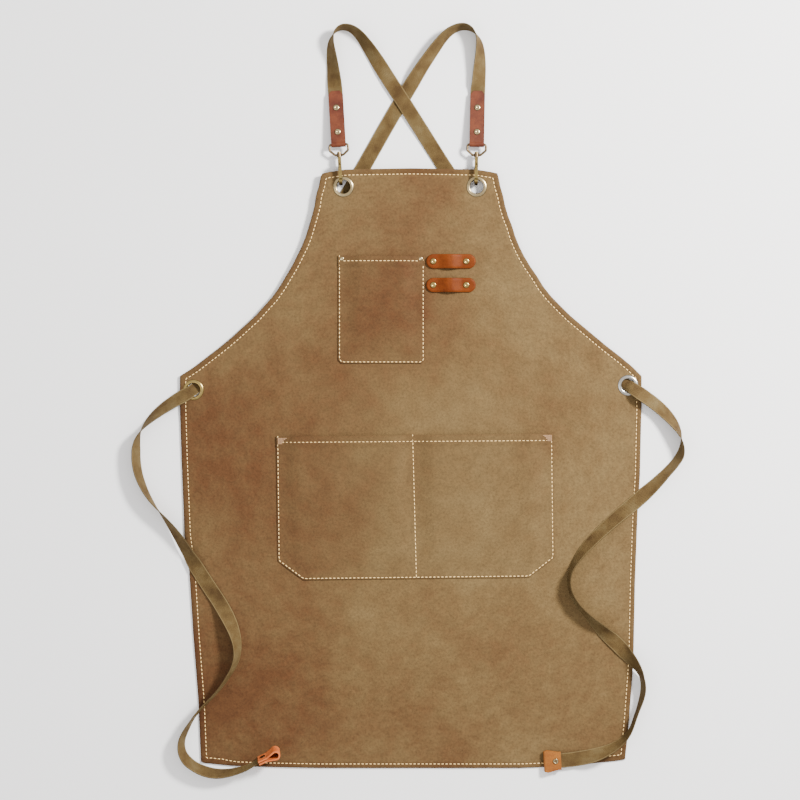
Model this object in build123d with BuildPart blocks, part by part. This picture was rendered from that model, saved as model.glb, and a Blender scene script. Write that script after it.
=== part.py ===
from build123d import *
import math
import os

os.makedirs("parts", exist_ok=True)

# Cross-back work apron laid flat on its back: front up (+Z), bib toward +Y, floor at z = 0.
# All sizes in millimetres.

# Cloth
cloth = 1.2                 # one layer of canvas
hem_width = 9.0             # turned-under edge
flat_end = -3.0             # the skirt lies flat up to here, then the bib rises on its snap hooks
bend_end = 17.0
bib_slope = 1.4             # degrees
half_panel = 320.0

# Leather and webbing
leather = 2.0
webbing_width = 19.0
webbing = 1.2
webbing_lift = 0.25         # clearance under webbing that lies on the floor

# Eyelets
eyelet_bore = 8.8           # radius
eyelet_barrel = 9.8
eyelet_outer = 13.5
eyelet_flange = 1.2

# Snap hooks: local frame at the leather fold, +Y up the tab, Z measured from the swivel axis
hook_axis_height = 9.05
eye_wire = 1.5              # radius
fold_bore = 1.58
tab_length = 70.0
tab_width = 19.0
tab_slope = -5.15           # degrees, down toward the far end
tab_rivets = (16.0, 48.0)
post_radius = 1.5
post_bore = 1.56
hook_thickness = 4.4
pivot = (-28.0, 7.2)        # gate pivot (y, z)
pivot_pin = 0.8             # radius

# Tie tips: width at the webbing and at the folded end
tip_near_width = 23.0
tip_far_width = {"left": 29.0, "right": 24.0}

# Rivets
rivet_shank = 1.5           # radius
rivet_head = 4.0            # radius

# Panel outline: bib corners, armholes and side seams, front view
left_armhole = [
    (-114.0, 333.0), (-116.7, 329.0), (-119.3, 316.0), (-123.2, 303.0), (-125.0, 290.0),
    (-128.4, 277.0), (-132.3, 264.0), (-136.2, 251.0), (-141.4, 238.0), (-147.9, 225.0),
    (-154.4, 212.0), (-162.2, 199.0), (-170.0, 186.0), (-179.1, 173.0), (-190.8, 160.0),
    (-202.5, 147.0), (-216.8, 134.0), (-231.1, 121.0), (-246.7, 108.0), (-263.6, 95.0),
    (-280.5, 82.0), (-300.0, 69.5),
]
right_armhole = [
    (112.0, 333.0), (113.4, 329.0), (116.0, 316.0), (119.9, 303.0), (122.5, 290.0),
    (126.4, 277.0), (131.6, 264.0), (135.5, 251.0), (140.7, 238.0), (147.2, 225.0),
    (155.0, 212.0), (164.1, 199.0), (171.9, 186.0), (182.3, 173.0), (195.0, 160.0),
    (208.3, 147.0), (223.9, 134.0), (239.5, 121.0), (255.1, 108.0), (272.0, 95.0),
    (287.6, 82.0), (300.0, 69.5),
]
left_side = [
    (-300.0, 28.0), (-298.0, -40.0), (-294.0, -137.0), (-288.0, -183.0), (-282.5, -270.0),
    (-276.0, -354.0), (-272.7, -433.0),
]
bottom_edge = [(-226.0, -437.8), (-118.0, -440.0), (142.0, -440.0), (199.0, -437.8)]
right_side = [
    (278.5, -429.5), (281.0, -407.0), (284.4, -368.0), (289.5, -299.5), (291.5, -199.5),
    (295.0, -105.0), (298.0, -59.0), (300.0, 32.0),
]
top_edge = [(84.0, 337.5), (0.0, 339.0), (-84.0, 337.5)]
outline = left_armhole + left_side + bottom_edge + right_side + right_armhole[::-1] + top_edge
hem_outline = [point for point in outline if point[1] != 329.0]     # square corners inside

eyelets = {
    "bib_left": (-87.4, 315.0),
    "bib_right": (85.4, 315.0),
    "waist_left": (-282.4, 51.7),
    "waist_right": (282.4, 57.5),
}

# Pockets and tool loops (centre x, centre y, width, height)
chest_pocket_box = (-38.3, 155.6, 112.6, 139.4)
lower_pocket_box = (6.0, -100.5, 360.0, 187.0)
lower_pocket_turn = 0.65
chest_rivets = [(-51.0, 66.0), (51.0, 66.0)]      # from the pocket's centre
pocket_lift = 0.05
pocket_room = 6.0           # height of the cavity at the mouth
loop_rows = {"upper": 218.3, "lower": 187.6}
loop_centre_x = 52.1
loop_size = (64.2, 18.6)
loop_rivets_x = (29.2, 72.0)
loop_leather = 2.4
loop_arch = 6.0

# One side = fold position (x, y) and the lean of the tab and hook, degrees
sides = {"left": (-93.7, 370.0, 3.5), "right": (85.5, 370.0, -1.2)}

# Webbing routes: x, y, height of the lower edge, turn of the width about the run, width.
# Turn 0 or 180 lies flat; 90 stands on its edge.
left_strap_route = [
    (-94.3, 379.9, 7.55, 180, 19), (-96.1, 409.8, 4.86, 180, 19), (-98.0, 439.6, 2.17, 180, 19),
    (-99.1, 450.0, 1.2, 168, 19), (-100.4, 466.1, 0.25, 148, 19), (-102.6, 484.2, 0.25, 134, 19),
    (-103.9, 499.7, 0.25, 118, 19), (-102.3, 508.0, 0.25, 105, 19), (-99.8, 514.5, 0.25, 92, 19),
    (-94.8, 519.8, 0.25, 82, 19), (-88.6, 522.2, 0.25, 75, 19), (-81.0, 521.6, 0.25, 70, 19),
    (-73.8, 518.2, 0.25, 62, 19), (-65.6, 510.8, 0.25, 53, 19), (-55.6, 497.0, 0.25, 39, 19),
    (-46.5, 483.1, 0.6, 26, 19), (-37.4, 468.8, 1.3, 9, 19), (-28.1, 454.2, 2.1, 0, 19),
    (-11.4, 428.7, 2.2, 0, 19), (5.0, 402.8, 2.1, 0, 19), (22.0, 376.0, 0.6, 0, 19),
    (44.5, 340.1, 0.25, 0, 19), (70.0, 303.0, 0.25, 0, 19), (97.0, 262.0, 0.25, 0, 19),
    (122.0, 215.0, 0.25, 0, 19), (149.0, 172.0, 0.25, 0, 19), (184.0, 133.0, 0.25, 0, 19),
    (226.0, 98.0, 0.25, 0, 19), (256.0, 76.5, 0.25, 0, 19), (270.0, 66.5, 0.25, 0, 18),
    (276.0, 62.1, 0.25, 0, 15), (280.3, 59.0, 0.3, 0, 15), (284.5, 56.0, 5.1, 0, 15),
    (290.0, 52.2, 5.2, -16, 17), (297.6, 47.1, 5.0, -24, 19), (307.1, 40.6, 3.2, -27, 19),
    (318.6, 32.3, 0.9, -29, 19), (329.3, 22.7, 0.25, -34, 19), (338.1, 13.0, 0.25, -44, 19),
    (345.0, 3.2, 0.25, -57, 19), (349.4, -6.0, 0.25, -73, 19), (351.8, -14.5, 0.25, -88, 19),
    (351.9, -24.0, 0.25, -104, 19), (349.6, -33.8, 0.25, -118, 19),
    (342.5, -44.2, 0.25, -120, 19), (331.8, -55.8, 0.25, -124, 19), (316.0, -72.0, 2.0, -139, 19),
    (300.5, -86.0, 3.2, -160, 19), (286.9, -97.9, 2.7, -161, 19), (272.1, -109.9, 2.7, -150, 19),
    (256.0, -124.0, 2.7, -142, 19), (241.3, -137.6, 2.7, -137, 19), (229.3, -150.0, 2.7, -130, 19),
    (219.6, -161.6, 2.7, -120, 19), (212.0, -172.6, 2.7, -110, 19), (207.0, -182.6, 2.7, -102, 19),
    (204.8, -192.8, 2.7, -100, 19), (205.2, -203.6, 2.7, -99, 19), (208.6, -214.6, 2.7, -101, 19),
    (215.6, -226.4, 2.7, -103, 19), (225.2, -237.6, 2.7, -109, 19), (234.9, -247.7, 2.7, -119, 19),
    (244.4, -256.8, 2.7, -134, 19), (253.8, -265.6, 2.7, -153, 19), (263.5, -274.2, 2.7, -176, 19),
    (272.6, -283.2, 2.7, -176, 19), (281.1, -292.4, 2.7, -149, 19), (288.9, -301.4, 2.9, -130, 19),
    (295.4, -310.6, 2.8, -114, 19), (299.6, -320.4, 0.8, -103, 19), (301.8, -330.0, 0.25, -103, 19),
    (301.4, -340.4, 0.25, -104, 19), (298.8, -351.4, 0.25, -101, 19), (294.6, -363.4, 0.25, -96, 19),
    (290.9, -373.8, 0.6, -95, 19), (286.9, -385.2, 2.0, -96, 19), (281.4, -396.0, 2.7, -99, 19),
    (271.6, -406.0, 2.7, -111, 19), (257.6, -414.8, 2.7, -124, 19), (242.6, -421.0, 2.7, -143, 19),
    (228.8, -424.9, 2.9, -160, 19), (216.0, -427.2, 3.9, -177, 19), (200.0, -429.2, 5.4, -180, 19),
    (183.0, -430.2, 5.5, -180, 19),
]
right_strap_route = [
    (85.7, 380.0, 7.55, 0, 19), (86.3, 409.9, 4.86, 0, 19), (87.0, 439.7, 2.17, 0, 19),
    (88.1, 450.0, 1.2, 20, 19), (89.3, 466.1, 0.25, 28, 19), (90.1, 480.0, 0.25, 40, 19),
    (90.1, 493.4, 0.25, 53, 19), (88.9, 502.8, 0.25, 64, 19), (86.6, 509.8, 0.25, 76, 19),
    (83.0, 515.6, 0.25, 88, 19), (77.8, 520.4, 0.25, 99, 19), (70.6, 523.0, 0.25, 108, 19),
    (62.5, 522.4, 0.25, 112, 19), (54.9, 519.4, 0.25, 116, 19), (47.6, 514.4, 0.25, 121, 19),
    (39.8, 506.1, 0.25, 127, 19), (31.8, 495.6, 0.25, 135, 19), (23.3, 483.6, 0.25, 141, 19),
    (14.8, 471.2, 0.25, 147, 19), (6.2, 457.6, 0.25, 157, 19), (-3.4, 442.2, 0.25, 178, 19),
    (-11.4, 428.7, 0.25, 180, 19), (-28.0, 400.6, 0.25, 180, 19), (-45.0, 370.4, 0.25, 180, 19),
    (-62.1, 340.1, 0.25, 180, 19), (-84.0, 303.0, 0.25, 180, 19), (-107.0, 262.0, 0.25, 180, 19),
    (-129.0, 215.0, 0.25, 180, 19), (-153.0, 172.0, 0.25, 180, 19), (-186.0, 133.0, 0.25, 180, 19),
    (-226.0, 98.0, 0.25, 180, 19), (-256.0, 73.6, 0.25, 180, 19), (-270.0, 62.0, 0.25, 180, 18),
    (-276.0, 57.0, 0.25, 180, 15), (-280.4, 53.3, 0.3, 180, 15), (-284.5, 50.1, 4.95, 180, 15),
    (-289.8, 46.6, 5.05, 193, 17), (-297.2, 42.4, 4.9, 204, 19), (-308.0, 36.2, 3.0, 214, 19),
    (-319.3, 28.8, 0.7, 220, 19), (-329.9, 20.6, 0.25, 230, 19), (-339.8, 11.4, 0.25, 243, 19),
    (-347.2, 2.9, 0.25, 257, 19), (-352.2, -5.6, 0.25, 272, 19), (-355.1, -14.6, 0.25, 288, 19),
    (-356.5, -26.0, 0.25, 300, 19), (-356.4, -38.8, 0.25, 301, 19), (-355.0, -50.2, 0.25, 300, 19),
    (-352.2, -61.0, 0.25, 296, 19), (-348.4, -71.0, 0.25, 292, 19), (-343.6, -81.0, 0.25, 286, 19),
    (-337.8, -90.6, 0.25, 279, 19), (-331.4, -99.6, 0.25, 270, 19), (-324.8, -107.8, 0.25, 261, 19),
    (-316.8, -117.8, 0.25, 250, 19), (-308.0, -130.0, 0.8, 237, 19), (-297.6, -145.4, 2.2, 225, 19),
    (-287.9, -161.5, 2.7, 213, 19), (-277.6, -179.9, 2.7, 184, 19), (-268.4, -194.4, 2.7, 180, 19),
    (-258.8, -209.0, 2.7, 180, 19), (-248.6, -224.0, 2.7, 177, 19), (-237.6, -242.8, 2.7, 158, 19),
    (-229.2, -261.4, 2.7, 138, 19), (-225.0, -278.0, 2.7, 122, 19), (-225.0, -293.4, 2.7, 113, 19),
    (-229.4, -307.6, 2.7, 106, 19), (-238.0, -322.2, 2.7, 102, 19), (-247.9, -336.2, 2.7, 99, 19),
    (-258.4, -347.6, 2.7, 99, 19), (-269.0, -358.0, 2.7, 98, 19), (-276.8, -366.8, 2.7, 98, 19),
    (-283.0, -375.0, 1.2, 98, 19), (-288.0, -383.4, 0.25, 102, 19), (-292.8, -392.0, 0.25, 108, 19),
    (-296.9, -401.0, 0.25, 111, 19), (-298.2, -411.0, 0.25, 114, 19), (-296.2, -421.0, 0.25, 118, 19),
    (-290.2, -430.2, 0.25, 124, 19), (-280.6, -437.4, 0.25, 123, 19), (-270.6, -442.2, 0.25, 126, 19),
    (-260.2, -445.4, 0.25, 126, 19), (-249.0, -446.6, 0.3, 122, 19), (-237.2, -445.4, 0.8, 115, 19),
    (-225.6, -442.6, 1.9, 110, 19), (-214.0, -438.8, 4.0, 104, 19), (-205.4, -433.8, 5.6, 101, 19),
    (-197.0, -428.6, 6.3, 100, 19), (-186.0, -423.4, 6.3, 100, 19),
]


def base_height(y):
    """Underside of the hem at a distance y up the apron."""
    rise = math.tan(math.radians(bib_slope))
    if y <= flat_end:
        return 0.0
    if y <= bend_end:
        return (y - flat_end) * rise / 2
    return (bend_end - flat_end) * rise / 2 + (y - bend_end) * rise


def inset_outline(points, distance):
    """Closed outline, drawn counter-clockwise, moved inward by a distance."""
    moved = []
    for index, (x, y) in enumerate(points):
        before = points[index - 1]
        after = points[(index + 1) % len(points)]
        first = Vector(x - before[0], y - before[1]).normalized()
        second = Vector(after[0] - x, after[1] - y).normalized()
        inward = Vector(-first.Y - second.Y, first.X + second.X)
        reach = 2 * distance / inward.length ** 2
        moved.append((x + inward.X * reach, y + inward.Y * reach))
    return moved


def on_bib(x, y, height):
    """Frame on the sloping bib, its height measured from the underside of the hem."""
    tilt = bib_slope if y > bend_end else 0.0
    frame = Location((x, y, base_height(y)), (tilt, 0, 0))
    return frame * Location((0, 0, height))


def placed(frame, plane):
    """A plane given in a local frame."""
    return Plane(frame * plane.location)


def save(node, name):
    node.part.label = name
    export_step(node.part, f"parts/{name}.step")


def webbing_section(route, index):
    """Plane and width of one cross-section: its normal runs along the webbing."""

    def centre(row):
        x, y, rest, turn, width = row
        lean = math.radians(turn)
        return Vector(x, y, rest + abs(math.sin(lean)) * width / 2 + abs(math.cos(lean)) * webbing / 2)

    before = route[max(index - 1, 0)]
    after = route[min(index + 1, len(route) - 1)]
    run = (centre(after) - centre(before)).normalized()
    flat_across = Vector(-run.Y, run.X, 0).normalized()
    across = flat_across.rotate(Axis((0, 0, 0), run), route[index][3])
    return Plane(origin=centre(route[index]), x_dir=across, z_dir=run), route[index][4]


# ---------------------------------------------------------------- cloth panel

profile = [
    (-460.0, 0.0), (flat_end, 0.0), (bend_end, base_height(bend_end)), (360.0, base_height(360.0)),
]
with BuildPart() as under_layer_gap:
    with BuildSketch(Plane.YZ):
        Polygon(*[(y, z + cloth) for y, z in profile], (360.0, -5.0), (-460.0, -5.0), align=None)
    extrude(amount=half_panel, both=True)
    with BuildSketch(Plane.XY.offset(-10)):
        Polygon(*inset_outline(hem_outline, hem_width), align=None)
        with Locations(*eyelets.values()):
            Circle(eyelet_outer + 1.0)
    extrude(amount=60, mode=Mode.INTERSECT)

with BuildPart() as apron_panel:
    with BuildSketch(Plane.YZ):
        top_line = [(y, z + 2 * cloth) for y, z in profile[::-1]]
        Polygon(*profile, *top_line, align=None)
    extrude(amount=half_panel, both=True)
    with BuildSketch(Plane.XY.offset(-10)):
        Polygon(*outline, align=None)
    extrude(amount=60, mode=Mode.INTERSECT)
    add(under_layer_gap.part, mode=Mode.SUBTRACT)
    for x, y in eyelets.values():
        with Locations(on_bib(x, y, 0)):
            Cylinder(eyelet_barrel + 0.1, 20, mode=Mode.SUBTRACT)
    for row_y in loop_rows.values():
        for rivet_x in loop_rivets_x:
            with Locations(on_bib(rivet_x, row_y, 0)):
                Cylinder(rivet_shank + 0.05, 20, mode=Mode.SUBTRACT)
    for rivet_x, rivet_y in chest_rivets:
        with Locations(on_bib(*chest_pocket_box[:2], 0) * Location((rivet_x, rivet_y, 0))):
            Cylinder(rivet_shank + 0.05, 20, mode=Mode.SUBTRACT)
save(apron_panel, "apron_panel")


# ---------------------------------------------------------------- eyelets and washers

for name, (x, y) in eyelets.items():
    seat = on_bib(x, y, cloth)
    with BuildPart() as eyelet:
        with BuildSketch(placed(seat, Plane.XZ)):
            Polygon(
                (eyelet_bore, -0.6),
                (eyelet_barrel, -0.6),
                (eyelet_barrel, cloth + 0.02),
                (eyelet_outer, cloth + 0.02),
                (eyelet_outer, cloth + 0.5),
                (eyelet_outer - 1.2, cloth + eyelet_flange),
                (eyelet_bore + 1.2, cloth + eyelet_flange),
                (eyelet_bore, cloth + 0.5),
                align=None,
            )
        revolve(axis=Axis(seat.position, placed(seat, Plane.XY).z_dir))
    save(eyelet, f"grommet_{name}")
    with BuildPart() as washer:
        with Locations(seat * Location((0, 0, -0.31))):
            Cylinder(eyelet_outer - 0.5, 0.58)
            Cylinder(eyelet_barrel + 0.04, 2, mode=Mode.SUBTRACT)
    save(washer, f"washer_{name}")


# ---------------------------------------------------------------- pockets

def bulge(frame, inner, outer, foot, mouth, level, slant, corner):
    """Room behind a pocket: a low frustum, its lower outer corner cut off."""
    sign = 1 if outer > inner else -1
    with BuildPart() as body:
        for height, inset, cut in ((0.0, 0.0, corner), (level, slant, 0.6 * corner)):
            inner_x = inner + sign * inset
            outer_x = outer - sign * inset
            bottom = foot + inset
            with BuildSketch(placed(frame, Plane.XY.offset(height))):
                corners = [
                    (inner_x, bottom),
                    (outer_x - sign * cut, bottom),
                    (outer_x, bottom + 0.76 * cut),
                    (outer_x, mouth),
                    (inner_x, mouth),
                ]
                Polygon(*corners[::sign], align=None)
        loft(ruled=True)
    return body.part


chest_x, chest_y, chest_width, chest_height = chest_pocket_box
chest_frame = on_bib(chest_x, chest_y, 2 * cloth + pocket_lift)
half_w = chest_width / 2
half_h = chest_height / 2
chest_cover = bulge(chest_frame, -half_w + 6, half_w - 6, 6 - half_h, half_h + 5, pocket_room + cloth, 14, 6)
chest_room = bulge(chest_frame, -half_w + 7, half_w - 7, 7 - half_h, half_h + 5, pocket_room, 14, 6)
with BuildPart() as chest_pocket:
    with BuildSketch(placed(chest_frame, Plane.XY)) as chest_outline:
        Rectangle(chest_width, chest_height)
        chamfer(chest_outline.vertices().sort_by(Axis.Y)[:2], 4)
    extrude(amount=cloth)
    add(chest_cover)
    add(chest_room, mode=Mode.SUBTRACT)
    with Locations(chest_frame * Location((0, half_h + 5, 0))):
        Box(chest_width, 10, 30, mode=Mode.SUBTRACT)
    with Locations(*[chest_frame * Location((rx, ry, 0)) for rx, ry in chest_rivets]):
        Cylinder(rivet_shank + 0.05, 20, mode=Mode.SUBTRACT)
save(chest_pocket, "chest_pocket")

low_x, low_y, low_width, low_height = lower_pocket_box
low_frame = Location((low_x, low_y, 2 * cloth + pocket_lift), (0, 0, lower_pocket_turn))
half_w = low_width / 2
half_h = low_height / 2
covers = []
rooms = []
for sign in (-1, 1):
    covers.append(bulge(
        low_frame, sign * 4, sign * (half_w - 6), 6 - half_h, half_h + 5, pocket_room + cloth, 14, 26))
    rooms.append(bulge(low_frame, sign * 5, sign * (half_w - 7), 7 - half_h, half_h + 5, pocket_room, 14, 26))
with BuildPart() as lower_pocket:
    with BuildSketch(placed(low_frame, Plane.XY)):
        Polygon(
            (-half_w, half_h),
            (-half_w, 25 - half_h),
            (33 - half_w, -half_h),
            (half_w - 33, -half_h),
            (half_w, 25 - half_h),
            (half_w, half_h),
            align=None,
        )
    extrude(amount=cloth)
    for cover in covers:
        add(cover)
    for room in rooms:
        add(room, mode=Mode.SUBTRACT)
    with Locations(low_frame * Location((0, half_h + 5, 0))):
        Box(low_width, 10, 30, mode=Mode.SUBTRACT)
save(lower_pocket, "lower_pocket")


# ---------------------------------------------------------------- tool loops

for name, row_y in loop_rows.items():
    frame = on_bib(loop_centre_x, row_y, 2 * cloth + pocket_lift)
    length, width = loop_size
    with BuildPart() as loop:
        with BuildSketch(placed(frame, Plane.XZ)):
            Polygon(
                (-length / 2, 0), (-17, 0), (-13, loop_arch), (10.2, loop_arch), (14.2, 0), (length / 2, 0),
                (length / 2, loop_leather), (15.7, loop_leather), (11.7, loop_arch + loop_leather),
                (-14.5, loop_arch + loop_leather), (-18.5, loop_leather), (-length / 2, loop_leather),
                align=None,
            )
        extrude(amount=width / 2, both=True)
        with BuildSketch(placed(frame, Plane.XY.offset(-1))):
            SlotOverall(length, width)
        extrude(amount=20, mode=Mode.INTERSECT)
        with Locations(*[frame * Location((x - loop_centre_x, 0, 0)) for x in loop_rivets_x]):
            Cylinder(rivet_shank + 0.05, 20, mode=Mode.SUBTRACT)
    save(loop, f"tool_loop_{name}")


# ---------------------------------------------------------------- rivets

def rivet_post(frame, grip):
    """Base flange below the frame and a shank through the grip."""
    with BuildPart() as body:
        with Locations(frame * Location((0, 0, -0.42))):
            Cylinder(rivet_head, 0.8)
        with Locations(frame * Location((0, 0, grip / 2 + 0.2))):
            Cylinder(rivet_shank, grip + 1.2)
    return body.part


def rivet_cap(frame, grip, radius):
    """Domed cap, hollow over the end of the shank."""
    with BuildPart() as body:
        with BuildSketch(placed(frame * Location((0, 0, grip + 0.02)), Plane.XZ)):
            Polygon(
                (0, 1.0), (rivet_shank + 0.04, 1.0), (rivet_shank + 0.04, 0), (radius, 0), (radius, 0.6),
                (radius - 0.9, 1.3), (0, 1.6), align=None,
            )
        revolve(axis=Axis(frame.position, placed(frame, Plane.XY).z_dir))
    return body.part


loop_grip = cloth + pocket_lift + loop_leather
pocket_grip = 2 * cloth + pocket_lift
loop_seats = [on_bib(x, y, cloth) for y in loop_rows.values() for x in loop_rivets_x]
pocket_seats = [chest_frame * Location((x, y, -cloth - pocket_lift)) for x, y in chest_rivets]
tab_grip = 2 * leather + webbing + 0.1
rivet_sets = {
    "tool_loop": (loop_seats, loop_grip, rivet_head),
    "chest_pocket": (pocket_seats, pocket_grip, 2.8),
}
for side, (x, y, lean) in sides.items():
    tab_frame = Location((x, y, hook_axis_height), (0, 0, lean)) * Location((0, 0, 0), (tab_slope, 0, 0))
    seats = [tab_frame * Location((0, along, -tab_grip / 2)) for along in tab_rivets]
    rivet_sets[f"tab_{side}"] = (seats, tab_grip, rivet_head)
for name, (seats, grip, radius) in rivet_sets.items():
    posts = [rivet_post(seat, grip) for seat in seats]
    with BuildPart() as post_set:
        for post in posts:
            add(post)
    save(post_set, f"{name}_rivet_posts")
    caps = [rivet_cap(seat, grip, radius) for seat in seats]
    with BuildPart() as cap_set:
        for cap in caps:
            add(cap)
    save(cap_set, f"{name}_rivet_caps")


# ---------------------------------------------------------------- strap tabs, snap hooks

for side, (x, y, lean) in sides.items():
    hook_frame = Location((x, y, hook_axis_height), (0, 0, lean))
    tab_frame = hook_frame * Location((0, 0, 0), (tab_slope, 0, 0))

    with BuildPart() as tab:
        with BuildSketch(placed(tab_frame, Plane.YZ)):
            with Locations((tab_length / 2, 0)):
                Rectangle(tab_length, tab_grip)
            Circle(fold_bore + leather)
            Circle(fold_bore, mode=Mode.SUBTRACT)
            with Locations((tab_length / 2 + 4.75, 0)):
                Rectangle(tab_length - 9.0, webbing + 0.1, mode=Mode.SUBTRACT)
        extrude(amount=tab_width / 2, both=True)
        half = tab_width / 2
        with BuildSketch(placed(tab_frame, Plane.XY.offset(-10))):
            Polygon(
                (-half, -5), (half, -5), (half, tab_length - 5), (half - 4, tab_length),
                (4 - half, tab_length), (-half, tab_length - 5), align=None,
            )
        extrude(amount=20, mode=Mode.INTERSECT)
        with Locations(*[tab_frame * Location((0, along, 0)) for along in tab_rivets]):
            Cylinder(rivet_shank + 0.05, 20, mode=Mode.SUBTRACT)
    save(tab, f"strap_tab_{side}")

    with BuildPart() as eye:
        with BuildLine(placed(hook_frame, Plane.XY)):
            FilletPolyline((-12, 0), (-12, -8), (-5, -14), (5, -14), (12, -8), (12, 0), radius=3, close=True)
        with BuildSketch(placed(hook_frame * Location((12, -4, 0)), Plane.XZ)):
            Circle(eye_wire)
        sweep()
        with Locations(hook_frame * Location((0, -14, 0), (90, 0, 0))):
            Cylinder(3.2, 5)
            Cylinder(post_bore, 8, mode=Mode.SUBTRACT)
    save(eye, f"swivel_eye_{side}")

    with BuildPart() as post:
        with Locations(hook_frame * Location((0, -17.7, 0), (90, 0, 0))):
            Cylinder(post_radius, 12.6)
        with Locations(hook_frame * Location((0, -10.65, 0), (90, 0, 0))):
            Cylinder(2.5, 1.5)
    save(post, f"swivel_post_{side}")

    with BuildPart() as hook:
        with BuildSketch(placed(hook_frame, Plane.YZ)):
            with Locations((-43.8, 1.1)):
                Circle(9.6)
                Circle(5.6, mode=Mode.SUBTRACT)
            Polygon((-43.8, -20), (0, -20), (0, 20), (-43.8, 20), align=None, mode=Mode.SUBTRACT)
            Polygon((-43.8, 1.1), (-43.8, 20), (-49.3, 20), (-49.3, 9.5), align=None, mode=Mode.SUBTRACT)
            with Locations((-47.9, 7.5)):
                Circle(2.4)
            Polygon(
                (-43.9, -8.5), (-30, -8.5), (-24, -2.6), (-17, -2.6), (-17, 2.6), (-24.2, 2.6),
                (-25.2, 9.5), (-30.2, 9.5), (-30.2, 3.0), (-30.5, -1.5), (-33, -4.5), (-43.9, -4.5),
                align=None,
            )
        extrude(amount=hook_thickness / 2, both=True)
        with Locations(hook_frame * Location((0, -20.5, 0), (90, 0, 0))):
            Cylinder(post_radius + 0.02, 7.4, mode=Mode.SUBTRACT)
        with Locations(hook_frame * Location((0, -29.5, 7))):
            Box(2.2, 7.4, 8, mode=Mode.SUBTRACT)
        with Locations(hook_frame * Location((0, *pivot), (0, 90, 0))):
            Cylinder(pivot_pin + 0.01, 8, mode=Mode.SUBTRACT)
    save(hook, f"hook_body_{side}")

    with BuildPart() as gate:
        with BuildSketch(placed(hook_frame, Plane.YZ)):
            with Locations(pivot):
                Circle(2.0)
            Polygon((-28, 5.6), (-28, 9.1), (-33, 9.1), (-33, 6.4), align=None)
        extrude(amount=0.95, both=True)
        with BuildSketch(placed(hook_frame, Plane.YZ)):
            Polygon((-31, 6.6), (-31, 9.2), (-45.0, 9.4), (-45.0, 6.6), align=None)
        extrude(amount=2.1, both=True)
        with Locations(hook_frame * Location((0, *pivot), (0, 90, 0))):
            Cylinder(pivot_pin + 0.06, 8, mode=Mode.SUBTRACT)
    save(gate, f"hook_gate_{side}")

    with BuildPart() as pin:
        with Locations(hook_frame * Location((0, *pivot), (0, 90, 0))):
            Cylinder(pivot_pin, hook_thickness)
    save(pin, f"gate_pin_{side}")


# ---------------------------------------------------------------- webbing straps and tie tips

routes = {"left": (left_strap_route, 2.6, 8.0), "right": (right_strap_route, 6.0, 12.0)}
for side, (route, loop_radius, loop_centre) in routes.items():
    x, y, lean = sides[side]
    tab_frame = Location((x, y, hook_axis_height), (0, 0, lean)) * Location((0, 0, 0), (tab_slope, 0, 0))
    end_plane, end_width = webbing_section(route, len(route) - 1)
    tip_plane = Plane(end_plane.origin, x_dir=end_plane.z_dir, z_dir=end_plane.x_dir)
    rivet_plane = Plane(
        end_plane.origin - end_plane.z_dir * 5, x_dir=end_plane.x_dir, z_dir=end_plane.y_dir)

    with BuildPart() as strap:
        for index in range(len(route)):
            plane, width = webbing_section(route, index)
            with BuildSketch(plane):
                Rectangle(width, webbing)
        loft(ruled=True)
        with Locations(*[tab_frame * Location((0, along, 0)) for along in tab_rivets]):
            Cylinder(rivet_shank + 0.1, 20, mode=Mode.SUBTRACT)
        with Locations(Location(rivet_plane)):
            Cylinder(rivet_shank + 0.1, 8, mode=Mode.SUBTRACT)
    save(strap, f"strap_{side}")

    with BuildPart() as tip:
        with BuildSketch(tip_plane):
            Rectangle(1, 2 * leather + webbing + 0.1)
            with Locations((loop_centre, 0)):
                Circle(loop_radius)
            make_hull()
            with Locations((-6, 0)):
                Rectangle(12, 2 * leather + webbing + 0.1)
        extrude(amount=15, both=True)
        with BuildSketch(tip_plane):
            Rectangle(1, webbing + 0.1)
            with Locations((loop_centre, 0)):
                Circle(loop_radius - leather)
            make_hull()
            with Locations((-6.5, 0)):
                Rectangle(13, webbing + 0.1)
        extrude(amount=16, both=True, mode=Mode.SUBTRACT)
        end = loop_centre + loop_radius + 1
        near = tip_near_width / 2
        far = tip_far_width[side] / 2
        base = end_plane.origin - end_plane.y_dir * 20
        with BuildSketch(Plane(base, x_dir=end_plane.z_dir, z_dir=end_plane.y_dir)):
            Polygon(
                (-13, -near), (-8, -near), (end - 6, -far), (end, 2 - far), (end, far - 2),
                (end - 6, far), (-8, near), (-13, near), align=None,
            )
        extrude(amount=40, mode=Mode.INTERSECT)
        with Locations(Location(rivet_plane)):
            Cylinder(rivet_shank + 0.05, 10, mode=Mode.SUBTRACT)
    save(tip, f"tie_tip_{side}")

    with BuildPart() as rivet:
        with Locations(Location(rivet_plane)):
            Cylinder(rivet_shank, 6.4)
        for level in (-1, 1):
            with Locations(Location(rivet_plane) * Location((0, 0, level * 3.1))):
                Cylinder(3.6, 0.8)
    save(rivet, f"tie_tip_rivet_{side}")

    print(f"strap_{side}: section {webbing_width} x {webbing} mm, volume {strap.part.volume:.0f} mm3")
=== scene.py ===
import bpy
import bmesh
import math
import numpy as np
from mathutils import Matrix, Vector, noise


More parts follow.
